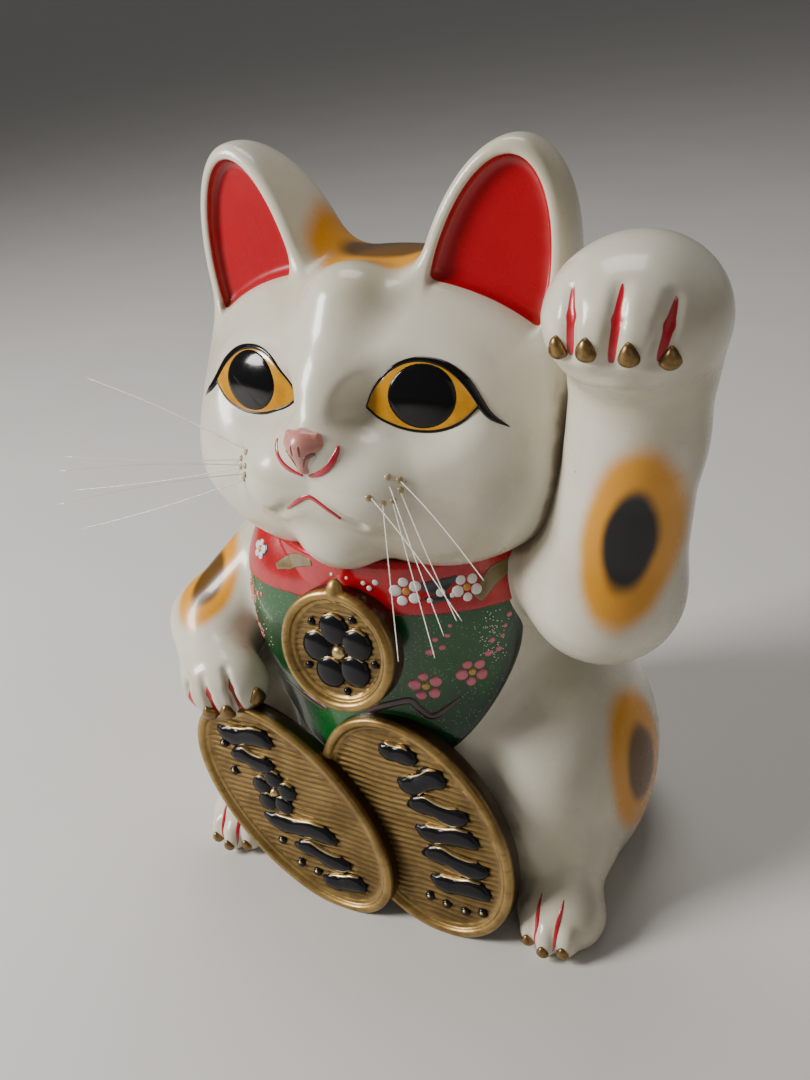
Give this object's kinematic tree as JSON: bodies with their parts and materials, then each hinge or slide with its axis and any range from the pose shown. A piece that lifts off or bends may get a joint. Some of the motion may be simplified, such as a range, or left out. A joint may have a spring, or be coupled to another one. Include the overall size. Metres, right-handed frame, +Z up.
{
  "type": "beckoning cat figurine",
  "caption": "Large hollow ceramic cat seated with one paw raised, bib, medallion, two oval coins under its other paw, coin slot in the back and a stopper in the base.",
  "frame": {"origin": "centre of the flat base, on the surface that the figurine stands on", "axes": "+Z up, the cat faces -Y, the raised paw is on the +X side"},
  "size_m": [0.3709, 0.3278, 0.4673],
  "materials": {
    "pearl_glaze": "pearly ivory-white gloss over fired ceramic, airbrushed spots",
    "red_enamel": "gloss red enamel on ceramic",
    "green_enamel": "glitter green enamel on ceramic",
    "antique_gold": "antique gold paint with dark patina on ceramic",
    "eye_enamel": "high gloss black and yellow enamel",
    "nose_enamel": "satin pink enamel",
    "nylon": "translucent nylon filament",
    "rubber": "matt black rubber"
  },
  "bodies": {
    "cat": {"torso_shell": "pearl_glaze", "head_shell": "pearl_glaze", "raised_arm_shell": "pearl_glaze", "lowered_arm_shell": "pearl_glaze", "tail": "pearl_glaze", "collar": "red_enamel", "bib": "green_enamel", "medallion": "antique_gold", "koban_front": "antique_gold", "koban_rear": "antique_gold", "eye_left": "eye_enamel", "eye_right": "eye_enamel", "nose": "nose_enamel", "whisker_left_1": "nylon", "whisker_left_2": "nylon", "whisker_left_3": "nylon", "whisker_left_4": "nylon", "whisker_left_5": "nylon", "whisker_left_6": "nylon", "whisker_right_1": "nylon", "whisker_right_2": "nylon", "whisker_right_3": "nylon", "whisker_right_4": "nylon", "whisker_right_5": "nylon", "whisker_right_6": "nylon"},
    "stopper": {"base_stopper": "rubber"}
  },
  "joints": [
    {"name": "stopper_slide", "type": "slide", "parent": "cat", "child": "stopper", "axis": [0, 0, -1], "range_m": [0, 0.04]}
  ]
}
